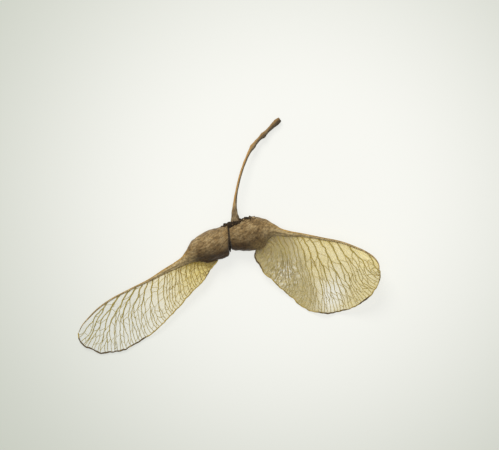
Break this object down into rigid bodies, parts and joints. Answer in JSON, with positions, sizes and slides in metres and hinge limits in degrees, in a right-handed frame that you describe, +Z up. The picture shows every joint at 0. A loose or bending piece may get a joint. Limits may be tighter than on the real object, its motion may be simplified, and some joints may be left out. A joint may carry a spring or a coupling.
{
  "type": "maple samara",
  "caption": "Double maple samara as picked: winged nutlets joined at a seam, veined papery wings with a thick leading edge, and the fruit's own thin stalk.",
  "frame": {"origin": "on the surface that the fruit lies on, under the seam between the nutlets, which is the centre of the bounding box's bottom within half a millimetre", "axes": "+X along the pair of wings, towards the right samara; +Y from the nutlets towards the stalk; +Z up, away from the surface"},
  "size_m": [0.0663, 0.052, 0.0068],
  "materials": {
    "left_samara": "dry papery wing, straw yellow with ochre veins, on a matt grey-brown nutlet",
    "right_samara": "dry papery wing, straw yellow with ochre veins, on a matt grey-brown nutlet",
    "stalk": "thin dry stalk, grey-brown, darker at the end that broke off the twig"
  },
  "bodies": {
    "root": {"left_samara": "left_samara", "right_samara": "right_samara", "stalk": "stalk"}
  },
  "joints": []
}
